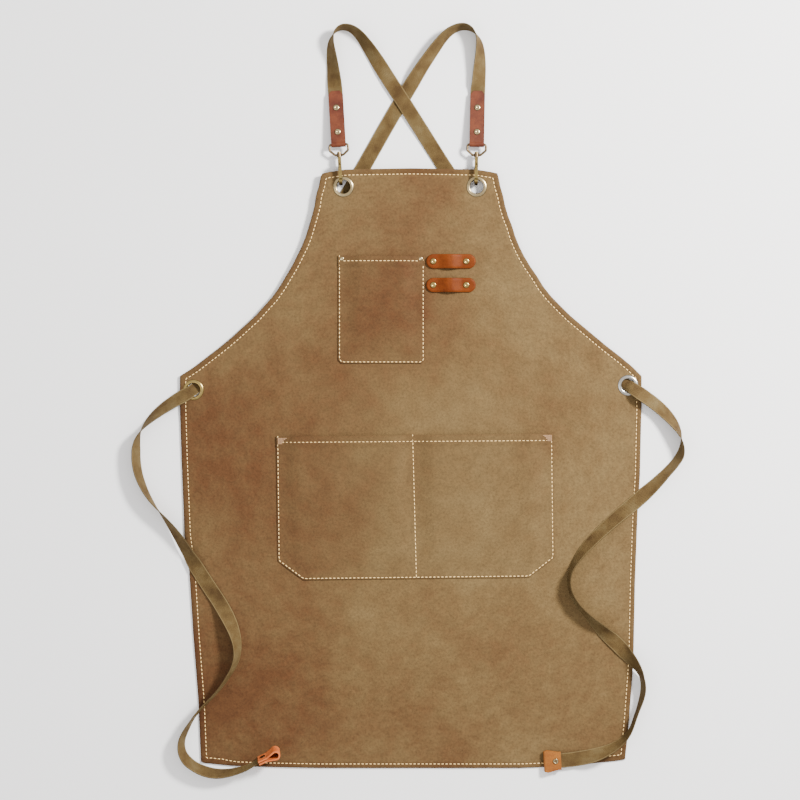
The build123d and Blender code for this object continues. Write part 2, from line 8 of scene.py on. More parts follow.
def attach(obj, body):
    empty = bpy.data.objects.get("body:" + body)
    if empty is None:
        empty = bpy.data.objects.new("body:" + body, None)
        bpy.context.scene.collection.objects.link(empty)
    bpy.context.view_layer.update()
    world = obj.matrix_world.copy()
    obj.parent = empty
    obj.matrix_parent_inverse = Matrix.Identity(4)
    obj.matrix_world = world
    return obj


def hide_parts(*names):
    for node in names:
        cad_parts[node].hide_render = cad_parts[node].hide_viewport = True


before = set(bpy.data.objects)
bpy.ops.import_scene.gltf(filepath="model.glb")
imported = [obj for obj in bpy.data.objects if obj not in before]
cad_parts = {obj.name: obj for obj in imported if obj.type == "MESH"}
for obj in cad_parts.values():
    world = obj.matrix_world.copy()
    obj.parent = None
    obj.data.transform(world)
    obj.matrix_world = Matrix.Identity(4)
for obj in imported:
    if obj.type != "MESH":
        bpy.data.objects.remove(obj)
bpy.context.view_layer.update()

# ------------------------------------------------------------------ sizes, in metres

CLOTH = 0.0012              # thickness of one layer of canvas
WEBBING = 0.0012            # thickness of the straps
HEM_STITCH = 0.0075         # from the panel's edge to its stitches
HEM_CREST = 0.0038          # from the edge to the top of the hem's soft roll
HEM_DEPTH = 0.0086          # how far the turned-under layer reaches
HEM_STEP = 0.0115           # width of the closely meshed rim
POCKET_STITCH = 0.0021      # from a pocket's edge to the groove of its stitches
POCKET_HEM = 0.0135         # depth of the doubled hem at a pocket's mouth
STITCH_PITCH = 0.0052
STITCH_LENGTH = 0.0034
PANEL_BOTTOM = -0.440
PANEL_TOP = 0.339
HOLE = 0.0102               # radius of the holes in the canvas behind the eyelets

# The skirt lies flat below FLAT_END. The bib rises from BEND_END on, to rest on its hooks.
FLAT_END = -0.003
BEND_END = 0.017
BIB_SLOPE = math.radians(1.4)
RISE = math.tan(BIB_SLOPE)

# The panel's two halves, each from the bottom edge up its side to the top edge.
LEFT_EDGE = [
    (-0.118, -0.440), (-0.226, -0.4378), (-0.2727, -0.433), (-0.276, -0.354), (-0.2825, -0.270),
    (-0.288, -0.183), (-0.294, -0.137), (-0.298, -0.040), (-0.300, 0.028), (-0.300, 0.0695),
    (-0.2805, 0.082), (-0.2636, 0.095), (-0.2467, 0.108), (-0.2311, 0.121), (-0.2168, 0.134),
    (-0.2025, 0.147), (-0.1908, 0.160), (-0.1791, 0.173), (-0.170, 0.186), (-0.1622, 0.199),
    (-0.1544, 0.212), (-0.1479, 0.225), (-0.1414, 0.238), (-0.1362, 0.251), (-0.1323, 0.264),
    (-0.1284, 0.277), (-0.125, 0.290), (-0.1232, 0.303), (-0.1193, 0.316), (-0.1167, 0.329),
    (-0.114, 0.333), (-0.084, 0.3375), (-0.002, 0.339),
]
RIGHT_EDGE = [
    (0.142, -0.440), (0.199, -0.4378), (0.2785, -0.4295), (0.281, -0.407), (0.2844, -0.368),
    (0.2895, -0.2995), (0.2915, -0.1995), (0.295, -0.105), (0.298, -0.059), (0.300, 0.032),
    (0.300, 0.0695), (0.2876, 0.082), (0.272, 0.095), (0.2551, 0.108), (0.2395, 0.121),
    (0.2239, 0.134), (0.2083, 0.147), (0.195, 0.160), (0.1823, 0.173), (0.1719, 0.186),
    (0.1641, 0.199), (0.155, 0.212), (0.1472, 0.225), (0.1407, 0.238), (0.1355, 0.251),
    (0.1316, 0.264), (0.1264, 0.277), (0.1225, 0.290), (0.1199, 0.303), (0.116, 0.316),
    (0.1134, 0.329), (0.112, 0.333), (0.084, 0.3375), (0.002, 0.339),
]
OUTLINE = LEFT_EDGE[::-1] + RIGHT_EDGE

# Eyelets: x, y, metal.
EYELETS = {
    "bib_left": (-0.0874, 0.315, "pale_brass"),
    "bib_right": (0.0854, 0.315, "pale_brass"),
    "waist_left": (-0.2824, 0.0517, "brass"),
    "waist_right": (0.2824, 0.0575, "nickel"),
}
# Pockets: centre x, centre y, width, height. Only the lower one is turned.
CHEST = (-0.0383, 0.1556, 0.1126, 0.1394)
LOWER = (0.006, -0.1005, 0.360, 0.187)
LOWER_TURN = math.radians(0.65)
LOOP_RIVETS_X = (0.0292, 0.072)
LOOP_ROWS = {"upper": 0.2183, "lower": 0.1876}
LOOP_CENTRE_X = 0.0521
LOOP_LEATHER_THICK = 0.0024
POCKET_LIFT = 0.00005       # gap under a piece that lies on the panel
CHEST_RIVET_REACH = 0.051   # from the chest pocket's middle, sideways and up
CHEST_RIVET_RISE = 0.066
TIE_RIVET = (0.188, -0.4299, 0.0096)

# Strap tabs: x and y of the fold round the hook's eye, and how far the tab leans, in degrees.
SIDES = {"left": (-0.0937, 0.370, 3.5), "right": (0.0855, 0.370, -1.2)}
AXIS_HEIGHT = 0.00905
TAB_SLOPE = math.radians(-5.15)
TAB_FACE = 0.00267
TAB_RIVETS = (0.016, 0.048)

# Strap routes: x, y, height of the webbing's lower edge, lean in degrees (0 and 180 lie flat), width.
left_strap_route = [
    (-0.0943, 0.3799, 0.00755, 180, 0.019), (-0.0961, 0.4098, 0.00486, 180, 0.019),
    (-0.0980, 0.4396, 0.00217, 180, 0.019), (-0.0991, 0.4500, 0.00120, 168, 0.019),
    (-0.1004, 0.4661, 0.00025, 148, 0.019), (-0.1026, 0.4842, 0.00025, 134, 0.019),
    (-0.1039, 0.4997, 0.00025, 118, 0.019), (-0.1023, 0.5080, 0.00025, 105, 0.019),
    (-0.0998, 0.5145, 0.00025, 92, 0.019), (-0.0948, 0.5198, 0.00025, 82, 0.019),
    (-0.0886, 0.5222, 0.00025, 75, 0.019), (-0.0810, 0.5216, 0.00025, 70, 0.019),
    (-0.0738, 0.5182, 0.00025, 62, 0.019), (-0.0656, 0.5108, 0.00025, 53, 0.019),
    (-0.0556, 0.4970, 0.00025, 39, 0.019), (-0.0465, 0.4831, 0.00060, 26, 0.019),
    (-0.0374, 0.4688, 0.00130, 9, 0.019), (-0.0281, 0.4542, 0.00210, 0, 0.019),
    (-0.0114, 0.4287, 0.00220, 0, 0.019), (0.0050, 0.4028, 0.00210, 0, 0.019),
    (0.0220, 0.3760, 0.00060, 0, 0.019), (0.0445, 0.3401, 0.00025, 0, 0.019),
    (0.0700, 0.3030, 0.00025, 0, 0.019), (0.0970, 0.2620, 0.00025, 0, 0.019),
    (0.1220, 0.2150, 0.00025, 0, 0.019), (0.1490, 0.1720, 0.00025, 0, 0.019),
    (0.1840, 0.1330, 0.00025, 0, 0.019), (0.2260, 0.0980, 0.00025, 0, 0.019),
    (0.2560, 0.0765, 0.00025, 0, 0.019), (0.2700, 0.0665, 0.00025, 0, 0.018),
    (0.2760, 0.0621, 0.00025, 0, 0.015), (0.2803, 0.0590, 0.00030, 0, 0.015),
    (0.2845, 0.0560, 0.00510, 0, 0.015), (0.2900, 0.0522, 0.00520, -16, 0.017),
    (0.2976, 0.0471, 0.00500, -24, 0.019), (0.3071, 0.0406, 0.00320, -27, 0.019),
    (0.3186, 0.0323, 0.00090, -29, 0.019), (0.3293, 0.0227, 0.00025, -34, 0.019),
    (0.3381, 0.0130, 0.00025, -44, 0.019), (0.3450, 0.0032, 0.00025, -57, 0.019),
    (0.3494, -0.0060, 0.00025, -73, 0.019), (0.3518, -0.0145, 0.00025, -88, 0.019),
    (0.3519, -0.0240, 0.00025, -104, 0.019), (0.3496, -0.0338, 0.00025, -118, 0.019),
    (0.3425, -0.0442, 0.00025, -120, 0.019), (0.3318, -0.0558, 0.00025, -124, 0.019),
    (0.3160, -0.0720, 0.00200, -139, 0.019), (0.3005, -0.0860, 0.00320, -160, 0.019),
    (0.2869, -0.0979, 0.00270, -161, 0.019), (0.2721, -0.1099, 0.00270, -150, 0.019),
    (0.2560, -0.1240, 0.00270, -142, 0.019), (0.2413, -0.1376, 0.00270, -137, 0.019),
    (0.2293, -0.1500, 0.00270, -130, 0.019), (0.2196, -0.1616, 0.00270, -120, 0.019),
    (0.2120, -0.1726, 0.00270, -110, 0.019), (0.2070, -0.1826, 0.00270, -102, 0.019),
    (0.2048, -0.1928, 0.00270, -100, 0.019), (0.2052, -0.2036, 0.00270, -99, 0.019),
    (0.2086, -0.2146, 0.00270, -101, 0.019), (0.2156, -0.2264, 0.00270, -103, 0.019),
    (0.2252, -0.2376, 0.00270, -109, 0.019), (0.2349, -0.2477, 0.00270, -119, 0.019),
    (0.2444, -0.2568, 0.00270, -134, 0.019), (0.2538, -0.2656, 0.00270, -153, 0.019),
    (0.2635, -0.2742, 0.00270, -176, 0.019), (0.2726, -0.2832, 0.00270, -176, 0.019),
    (0.2811, -0.2924, 0.00270, -149, 0.019), (0.2889, -0.3014, 0.00290, -130, 0.019),
    (0.2954, -0.3106, 0.00280, -114, 0.019), (0.2996, -0.3204, 0.00080, -103, 0.019),
    (0.3018, -0.3300, 0.00025, -103, 0.019), (0.3014, -0.3404, 0.00025, -104, 0.019),
    (0.2988, -0.3514, 0.00025, -101, 0.019), (0.2946, -0.3634, 0.00025, -96, 0.019),
    (0.2909, -0.3738, 0.00060, -95, 0.019), (0.2869, -0.3852, 0.00200, -96, 0.019),
    (0.2814, -0.3960, 0.00270, -99, 0.019), (0.2716, -0.4060, 0.00270, -111, 0.019),
    (0.2576, -0.4148, 0.00270, -124, 0.019), (0.2426, -0.4210, 0.00270, -143, 0.019),
    (0.2288, -0.4249, 0.00290, -160, 0.019), (0.2160, -0.4272, 0.00390, -177, 0.019),
    (0.2000, -0.4292, 0.00540, -180, 0.019), (0.1830, -0.4302, 0.00550, -180, 0.019),
]
right_strap_route = [
    (0.0857, 0.3800, 0.00755, 0, 0.019), (0.0863, 0.4099, 0.00486, 0, 0.019),
    (0.0870, 0.4397, 0.00217, 0, 0.019), (0.0881, 0.4500, 0.00120, 20, 0.019),
    (0.0893, 0.4661, 0.00025, 28, 0.019), (0.0901, 0.4800, 0.00025, 40, 0.019),
    (0.0901, 0.4934, 0.00025, 53, 0.019), (0.0889, 0.5028, 0.00025, 64, 0.019),
    (0.0866, 0.5098, 0.00025, 76, 0.019), (0.0830, 0.5156, 0.00025, 88, 0.019),
    (0.0778, 0.5204, 0.00025, 99, 0.019), (0.0706, 0.5230, 0.00025, 108, 0.019),
    (0.0625, 0.5224, 0.00025, 112, 0.019), (0.0549, 0.5194, 0.00025, 116, 0.019),
    (0.0476, 0.5144, 0.00025, 121, 0.019), (0.0398, 0.5061, 0.00025, 127, 0.019),
    (0.0318, 0.4956, 0.00025, 135, 0.019), (0.0233, 0.4836, 0.00025, 141, 0.019),
    (0.0148, 0.4712, 0.00025, 147, 0.019), (0.0062, 0.4576, 0.00025, 157, 0.019),
    (-0.0034, 0.4422, 0.00025, 178, 0.019), (-0.0114, 0.4287, 0.00025, 180, 0.019),
    (-0.0280, 0.4006, 0.00025, 180, 0.019), (-0.0450, 0.3704, 0.00025, 180, 0.019),
    (-0.0621, 0.3401, 0.00025, 180, 0.019), (-0.0840, 0.3030, 0.00025, 180, 0.019),
    (-0.1070, 0.2620, 0.00025, 180, 0.019), (-0.1290, 0.2150, 0.00025, 180, 0.019),
    (-0.1530, 0.1720, 0.00025, 180, 0.019), (-0.1860, 0.1330, 0.00025, 180, 0.019),
    (-0.2260, 0.0980, 0.00025, 180, 0.019), (-0.2560, 0.0736, 0.00025, 180, 0.019),
    (-0.2700, 0.0620, 0.00025, 180, 0.018), (-0.2760, 0.0570, 0.00025, 180, 0.015),
    (-0.2804, 0.0533, 0.00030, 180, 0.015), (-0.2845, 0.0501, 0.00495, 180, 0.015),
    (-0.2898, 0.0466, 0.00505, 193, 0.017), (-0.2972, 0.0424, 0.00490, 204, 0.019),
    (-0.3080, 0.0362, 0.00300, 214, 0.019), (-0.3193, 0.0288, 0.00070, 220, 0.019),
    (-0.3299, 0.0206, 0.00025, 230, 0.019), (-0.3398, 0.0114, 0.00025, 243, 0.019),
    (-0.3472, 0.0029, 0.00025, 257, 0.019), (-0.3522, -0.0056, 0.00025, 272, 0.019),
    (-0.3551, -0.0146, 0.00025, 288, 0.019), (-0.3565, -0.0260, 0.00025, 300, 0.019),
    (-0.3564, -0.0388, 0.00025, 301, 0.019), (-0.3550, -0.0502, 0.00025, 300, 0.019),
    (-0.3522, -0.0610, 0.00025, 296, 0.019), (-0.3484, -0.0710, 0.00025, 292, 0.019),
    (-0.3436, -0.0810, 0.00025, 286, 0.019), (-0.3378, -0.0906, 0.00025, 279, 0.019),
    (-0.3314, -0.0996, 0.00025, 270, 0.019), (-0.3248, -0.1078, 0.00025, 261, 0.019),
    (-0.3168, -0.1178, 0.00025, 250, 0.019), (-0.3080, -0.1300, 0.00080, 237, 0.019),
    (-0.2976, -0.1454, 0.00220, 225, 0.019), (-0.2879, -0.1615, 0.00270, 213, 0.019),
    (-0.2776, -0.1799, 0.00270, 184, 0.019), (-0.2684, -0.1944, 0.00270, 180, 0.019),
    (-0.2588, -0.2090, 0.00270, 180, 0.019), (-0.2486, -0.2240, 0.00270, 177, 0.019),
    (-0.2376, -0.2428, 0.00270, 158, 0.019), (-0.2292, -0.2614, 0.00270, 138, 0.019),
    (-0.2250, -0.2780, 0.00270, 122, 0.019), (-0.2250, -0.2934, 0.00270, 113, 0.019),
    (-0.2294, -0.3076, 0.00270, 106, 0.019), (-0.2380, -0.3222, 0.00270, 102, 0.019),
    (-0.2479, -0.3362, 0.00270, 99, 0.019), (-0.2584, -0.3476, 0.00270, 99, 0.019),
    (-0.2690, -0.3580, 0.00270, 98, 0.019), (-0.2768, -0.3668, 0.00270, 98, 0.019),
    (-0.2830, -0.3750, 0.00120, 98, 0.019), (-0.2880, -0.3834, 0.00025, 102, 0.019),
    (-0.2928, -0.3920, 0.00025, 108, 0.019), (-0.2969, -0.4010, 0.00025, 111, 0.019),
    (-0.2982, -0.4110, 0.00025, 114, 0.019), (-0.2962, -0.4210, 0.00025, 118, 0.019),
    (-0.2902, -0.4302, 0.00025, 124, 0.019), (-0.2806, -0.4374, 0.00025, 123, 0.019),
    (-0.2706, -0.4422, 0.00025, 126, 0.019), (-0.2602, -0.4454, 0.00025, 126, 0.019),
    (-0.2490, -0.4466, 0.00030, 122, 0.019), (-0.2372, -0.4454, 0.00080, 115, 0.019),
    (-0.2256, -0.4426, 0.00190, 110, 0.019), (-0.2140, -0.4388, 0.00400, 104, 0.019),
    (-0.2054, -0.4338, 0.00560, 101, 0.019), (-0.1970, -0.4286, 0.00630, 100, 0.019),
    (-0.1860, -0.4234, 0.00630, 100, 0.019),
]

# ------------------------------------------------------------------ camera and light

camera_data = bpy.data.cameras.new("camera")
camera_data.lens = 103.8
camera_data.sensor_width = 36.0
camera_data.clip_end = 50.0
camera = bpy.data.objects.new("camera", camera_data)
camera.location = (-0.014, 0.0385, 3.0)
bpy.context.scene.collection.objects.link(camera)
bpy.context.scene.camera = camera


def area_light(name, location, aim, size, power, tint=(1.0, 1.0, 1.0)):
    data = bpy.data.lights.new(name, "AREA")
    data.shape = "DISK"
    data.size = size
    data.energy = power
    data.color = tint
    lamp = bpy.data.objects.new(name, data)
    lamp.location = location
    way = Vector(aim) - Vector(location)
    lamp.rotation_euler = way.to_track_quat("-Z", "Y").to_euler()
    bpy.context.scene.collection.objects.link(lamp)


area_light("key", (1.5, 1.0, 1.5), (0.0, 0.0, 0.0), 0.45, 150.0, (1.0, 0.985, 0.965))
area_light("fill", (-1.4, -0.6, 2.4), (0.0, 0.0, 0.0), 2.0, 16.0, (0.97, 0.98, 1.0))
world = bpy.data.worlds.new("studio")
bpy.context.scene.world = world
world.use_nodes = True
world.node_tree.nodes["Background"].inputs["Color"].default_value = (1.0, 0.975, 0.965, 1.0)
world.node_tree.nodes["Background"].inputs["Strength"].default_value = 1.2


# ------------------------------------------------------------------ materials

def linear(red, green, blue):
    """Colour from 0 to 255 values, as the shader wants it."""
    def one(value):
        value /= 255.0
        return value / 12.92 if value <= 0.04045 else ((value + 0.055) / 1.055) ** 2.4
    return (one(red), one(green), one(blue), 1.0)


class Graph:
    """Small helper over a material's node tree."""

    def __init__(self, name, roughness, metallic=0.0):
        self.material = bpy.data.materials.new(name)
        self.material.use_nodes = True
        self.tree = self.material.node_tree
        self.shader = self.tree.nodes["Principled BSDF"]
        self.shader.inputs["Roughness"].default_value = roughness
        self.shader.inputs["Metallic"].default_value = metallic
        self.place = self.tree.nodes.new("ShaderNodeNewGeometry").outputs["Position"]

    def join(self, source, node, socket):
        self.tree.links.new(source, node.inputs[socket])

    def noise(self, scale, detail=4.0, rough=0.55, vector=None):
        node = self.tree.nodes.new("ShaderNodeTexNoise")
        node.inputs["Scale"].default_value = scale
        node.inputs["Detail"].default_value = detail
        node.inputs["Roughness"].default_value = rough
        self.join(vector or self.place, node, "Vector")
        return node.outputs["Fac"]

    def attribute(self, name, output="Fac"):
        node = self.tree.nodes.new("ShaderNodeAttribute")
        node.attribute_name = name
        return node.outputs[output]

    def ramp(self, source, *stops):
        node = self.tree.nodes.new("ShaderNodeValToRGB")
        ramp = node.color_ramp
        ramp.elements[0].position = stops[0][0]
        ramp.elements[0].color = stops[0][1]
        ramp.elements[1].position = stops[-1][0]
        ramp.elements[1].color = stops[-1][1]
        for position, color in stops[1:-1]:
            ramp.elements.new(position).color = color
        self.join(source, node, "Fac")
        return node.outputs["Color"]

    def math(self, kind, first, second):
        node = self.tree.nodes.new("ShaderNodeMath")
        node.operation = kind
        for index, value in enumerate((first, second)):
            if isinstance(value, (int, float)):
                node.inputs[index].default_value = value
            else:
                self.tree.links.new(value, node.inputs[index])
        return node.outputs[0]

    def mix(self, factor, first, second, kind="MIX"):
        node = self.tree.nodes.new("ShaderNodeMix")
        node.data_type = "RGBA"
        node.blend_type = kind
        for index, value in ((0, factor), (6, first), (7, second)):
            if isinstance(value, (int, float, tuple)):
                node.inputs[index].default_value = value
            else:
                self.tree.links.new(value, node.inputs[index])
        return node.outputs[2]

    def bump(self, height, strength, distance, normal=None):
        node = self.tree.nodes.new("ShaderNodeBump")
        node.inputs["Strength"].default_value = strength
        node.inputs["Distance"].default_value = distance
        self.join(height, node, "Height")
        if normal:
            self.join(normal, node, "Normal")
        return node.outputs["Normal"]

    def color(self, source):
        self.join(source, self.shader, "Base Color")

    def normal(self, source):
        self.join(source, self.shader, "Normal")

    def roughness(self, source):
        self.join(source, self.shader, "Roughness")


def canvas_material(name, dark=1.0):
    """Waxed canvas: red-brown where it is worn, olive-tan elsewhere, with a suede mottle."""
    g = Graph(name, 0.78)
    tone = g.attribute("tone")
    drift = g.math("ADD", g.math("MULTIPLY", g.noise(9.0, 3.0), 0.75), -0.375)
    patch = g.math("ADD", g.math("MULTIPLY", g.noise(48.0, 5.0, 0.6), 0.6), -0.3)
    mixed = g.math("ADD", g.math("ADD", tone, drift), patch)
    base = g.ramp(
        mixed,
        (0.10, linear(111 * dark, 93 * dark, 61 * dark)),
        (0.50, linear(96 * dark, 76 * dark, 47 * dark)),
        (0.95, linear(80 * dark, 52 * dark, 29 * dark)),
    )
    speck = g.ramp(
        g.noise(330.0, 6.0, 0.7), (0.30, (0.55, 0.52, 0.50, 1.0)), (0.52, (1.0, 1.0, 1.0, 1.0)),
        (0.75, (1.32, 1.27, 1.20, 1.0)))
    cloud = g.ramp(
        g.noise(95.0, 5.0, 0.65), (0.30, (0.82, 0.78, 0.74, 1.0)), (0.70, (1.14, 1.14, 1.12, 1.0)))
    base = g.mix(0.62, base, speck, "MULTIPLY")
    base = g.mix(0.85, base, cloud, "MULTIPLY")
    hem = g.attribute("hem")
    base = g.mix(g.math("MULTIPLY", hem, 0.55), base, (0.62, 0.50, 0.42, 1.0), "MULTIPLY")
    g.color(base)
    g.shader.inputs["Sheen Weight"].default_value = 0.03
    g.shader.inputs["Specular IOR Level"].default_value = 0.12
    weave = g.noise(1500.0, 2.0, 0.5)
    grain = g.noise(420.0, 5.0, 0.6)
    g.normal(g.bump(weave, 0.25, 0.0003, g.bump(grain, 0.45, 0.0007)))
    return g.material


def leather_material(name, base, deep, scale=260.0, wear=0.6, gloss=0.25):
    """Leather in two tones with fine pores and a cell grain."""
    g = Graph(name, 0.55)
    g.shader.inputs["Specular IOR Level"].default_value = gloss
    tone = g.ramp(g.noise(60.0, 5.0, 0.65), (0.32, deep), (0.62, base))
    pores = g.ramp(
        g.noise(scale * 3, 4.0, 0.6), (0.35, (0.70, 0.66, 0.62, 1.0)), (0.6, (1.08, 1.08, 1.08, 1.0)))
    g.color(g.mix(wear, tone, pores, "MULTIPLY"))
    cells = g.tree.nodes.new("ShaderNodeTexVoronoi")
    cells.inputs["Scale"].default_value = scale * 5
    g.join(g.place, cells, "Vector")
    g.normal(g.bump(cells.outputs["Distance"], 0.25, 0.0003, g.bump(g.noise(scale), 0.3, 0.0006)))
    g.roughness(g.math("ADD", g.math("MULTIPLY", g.noise(120.0), 0.25), 0.42))
    return g.material


def metal_material(name, base, roughness=0.24):
    """Metal with tarnished patches, and painted shade that darkens its steep sides."""
    g = Graph(name, roughness, 1.0)
    tarnish = g.ramp(
        g.noise(240.0, 5.0, 0.6), (0.34, (0.62, 0.56, 0.50, 1.0)), (0.58, (1.0, 1.0, 1.0, 1.0)))
    facing = g.tree.nodes.new("ShaderNodeSeparateXYZ")
    g.join(g.place.node.outputs["Normal"], facing, "Vector")
    # Painted shade: the steeper the surface, the darker its colour, down to a deep brown on vertical
    # sides.
    steep_side_shade = g.ramp(facing.outputs["Z"], (0.55, (0.16, 0.12, 0.08, 1.0)), (0.95, (1.0, 1.0, 1.0, 1.0)))
    g.color(g.mix(1.0, g.mix(0.55, base, tarnish, "MULTIPLY"), steep_side_shade, "MULTIPLY"))
    g.roughness(g.math("ADD", g.math("MULTIPLY", g.noise(700.0, 3.0), 0.18), roughness - 0.06))
    g.normal(g.bump(g.noise(900.0, 3.0), 0.12, 0.0002))
    return g.material


def webbing_material(name):
    """Cross ribs along the run, with a painted highlight band and a painted shade line along both edges.
    """
    g = Graph(name, 0.8)
    uv = g.tree.nodes.new("ShaderNodeUVMap")
    uv.uv_map = "run"
    split = g.tree.nodes.new("ShaderNodeSeparateXYZ")
    g.join(uv.outputs["UV"], split, "Vector")
    along, across = split.outputs["X"], split.outputs["Y"]
    rib = g.math("SINE", g.math("MULTIPLY", along, 2 * math.pi / 0.0013), 0.0)
    warp = g.math("SINE", g.math("MULTIPLY", across, 2 * math.pi * 11), 0.0)
    rib_shade = g.ramp(
        g.math("ADD", g.math("MULTIPLY", rib, 0.5), 0.5),
        (0.0, (0.66, 0.62, 0.58, 1.0)), (1.0, (1.14, 1.14, 1.12, 1.0)))
    base = g.ramp(
        g.noise(40.0, 4.0), (0.30, linear(74, 56, 32)), (0.50, linear(95, 77, 46)),
        (0.70, linear(108, 93, 62)))
    base = g.mix(0.85, base, rib_shade, "MULTIPLY")
    fleck = g.ramp(
        g.noise(900.0, 3.0, 0.7), (0.32, (0.66, 0.60, 0.54, 1.0)), (0.6, (1.10, 1.10, 1.10, 1.0)))
    base = g.mix(0.6, base, fleck, "MULTIPLY")
    edge = g.math("ABSOLUTE", g.math("ADD", g.math("MULTIPLY", across, 2.0), -1.0), 0.0)
    # Painted highlight: a light band just inside both edges of the webbing.
    rim = g.ramp(edge, (0.84, (0.0, 0.0, 0.0, 1.0)), (0.90, (1.0, 1.0, 1.0, 1.0)))
    base = g.mix(g.math("MULTIPLY", rim, 0.6), base, linear(128, 110, 74))
    # Painted shade: a dark line along both outermost edges of the webbing.
    brink = g.ramp(edge, (0.95, (0.0, 0.0, 0.0, 1.0)), (0.985, (1.0, 1.0, 1.0, 1.0)))
    base = g.mix(g.math("MULTIPLY", brink, 0.75), base, linear(58, 44, 22))
    g.color(base)
    g.shader.inputs["Specular IOR Level"].default_value = 0.12
    g.normal(g.bump(rib, 0.7, 0.00035, g.bump(warp, 0.35, 0.0002)))
    return g.material


def thread_material(name, base):
    g = Graph(name, 0.6)
    twist = g.ramp(
        g.noise(1400.0, 3.0, 0.6), (0.3, (0.72, 0.68, 0.60, 1.0)), (0.6, (1.05, 1.05, 1.05, 1.0)))
    g.color(g.mix(0.6, base, twist, "MULTIPLY"))
    g.normal(g.bump(g.noise(2200.0, 2.0), 0.4, 0.0002))
    return g.material


def floor_material():
    g = Graph("floor_paper", 0.9)
    g.color(g.ramp(
        g.noise(3.0, 2.0), (0.3, (0.955, 0.955, 0.955, 1.0)), (0.7, (0.97, 0.97, 0.97, 1.0))))
    return g.material


CANVAS = canvas_material("canvas")
POCKET_CANVAS = canvas_material("pocket_canvas", 0.98)
TAB_LEATHER = leather_material("tab_leather", linear(96, 46, 22), linear(70, 26, 10))
LOOP_LEATHER = leather_material("loop_leather", linear(104, 48, 8), linear(84, 34, 4), gloss=0.1)
LEFT_TIP_LEATHER = leather_material("left_tip_leather", linear(204, 110, 56), linear(170, 82, 34))
RIGHT_TIP_LEATHER = leather_material("right_tip_leather", linear(140, 84, 24), linear(112, 58, 14))
METALS = {
    "brass": metal_material("brass", (0.36, 0.26, 0.09, 1.0)),
    "pale_brass": metal_material("pale_brass", (0.42, 0.33, 0.18, 1.0)),
    "nickel": metal_material("nickel", (0.52, 0.50, 0.46, 1.0), 0.20),
    "old_brass": metal_material("old_brass", (0.20, 0.14, 0.075, 1.0), 0.30),
}
WEB = webbing_material("webbing")
THREAD = thread_material("thread", linear(255, 216, 146))
BAR_THREAD = thread_material("bar_thread", linear(150, 116, 82))


# ------------------------------------------------------------------ small mesh tools

def base_height(y):
    """Underside of the hem: flat skirt, then the bib rises on its hooks."""
    y = np.asarray(y)
    bend = BEND_END - FLAT_END
    soft = np.clip((y - FLAT_END) / bend, 0.0, 1.0)
    rise = np.maximum(y - FLAT_END, 0.0) * RISE
    return np.where(y < BEND_END, rise * soft * 0.5, rise - bend * RISE * 0.5)


def ease(share):
    """Smooth step from 0 to 1."""
    return share * share * (3 - 2 * share)


def groove(distance, wide):
    """Bell shape, 1 where the distance is zero."""
    return np.exp(-(distance / wide) ** 2)


def make_object(name, verts, faces, material, smooth=True):
    mesh = bpy.data.meshes.new(name)
    mesh.from_pydata([tuple(v) for v in verts], [], faces)
    mesh.update()
    for polygon in mesh.polygons:
        polygon.use_smooth = smooth
    mesh.materials.append(material)
    obj = bpy.data.objects.new(name, mesh)
    bpy.context.scene.collection.objects.link(obj)
    return obj


def point_values(obj, name, values):
    layer = obj.data.attributes.new(name, "FLOAT", "POINT")
    layer.data.foreach_set("value", np.asarray(values, dtype=np.float32))


def edge_distance(points, outline):
    """Distance from each point to a closed outline."""
    best = np.full(len(points), 1e9)
    corners = np.array(outline)
    for first, second in zip(corners, np.roll(corners, -1, axis=0)):
        run = second - first
        size = run @ run
        if size < 1e-12:
            continue
        share = np.clip(((points - first) @ run) / size, 0.0, 1.0)
        near = first + share[:, None] * run
        best = np.minimum(best, np.hypot(*(points - near).T))
    return best


def worn(points):
    """Share of red-brown wear over the apron, from broad areas: x, y, spread, weight."""
    areas = [
        (-0.03, 0.17, 0.11, 0.95), (-0.24, -0.02, 0.16, 0.85), (-0.22, -0.36, 0.17, 1.0),
        (-0.10, -0.10, 0.10, 0.45), (0.02, 0.33, 0.08, 0.5), (0.20, 0.05, 0.12, 0.35),
        (0.10, -0.28, 0.13, 0.30), (0.26, -0.40, 0.09, 0.45), (0.05, -0.43, 0.10, 0.35),
    ]
    total = np.full(len(points), 0.30)
    for x, y, spread, weight in areas:
        away = np.hypot(points[:, 0] - x, points[:, 1] - y) / spread
        total += weight * 0.62 * groove(away, 1.0)
    return np.clip(total, 0.0, 1.0)


def wrinkle(x, y, scale, amount, seed):
    return amount * noise.noise(Vector((x * scale, y * scale, seed)))


def grid_shell(name, columns, top, bottom, material):
    """Closed thin shell from a grid of points: top and bottom surfaces joined round the rim."""
    rows, wide = columns.shape[:2]
    flat = columns.reshape(-1, 2)
    upper = np.column_stack([flat, top])
    lower = np.column_stack([flat, bottom])
    count = rows * wide
    faces = []
    for r in range(rows - 1):
        for c in range(wide - 1):
            a = r * wide + c
            b, d, e = a + 1, a + wide + 1, a + wide
            faces.append((a, b, d, e))
            faces.append((count + e, count + d, count + b, count + a))
    rim = list(range(wide))
    rim += [r * wide + wide - 1 for r in range(1, rows)]
    rim += [(rows - 1) * wide + c for c in range(wide - 2, -1, -1)]
    rim += [r * wide for r in range(rows - 2, 0, -1)]
    for a, b in zip(rim, rim[1:] + rim[:1]):
        faces.append((b, a, count + a, count + b))
    return make_object(name, np.vstack([upper, lower]), faces, material)


def bevelled(node, material, width, segments=2):
    """A CAD piece kept as it is, with a material of its own and softened edges."""
    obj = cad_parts[node]
    obj.data.materials.clear()
    obj.data.materials.append(material)
    modifier = obj.modifiers.new("soft_edges", "BEVEL")
    modifier.width = width
    modifier.segments = segments
    modifier.limit_method = "ANGLE"
    modifier.angle_limit = math.radians(35)


# ------------------------------------------------------------------ panel

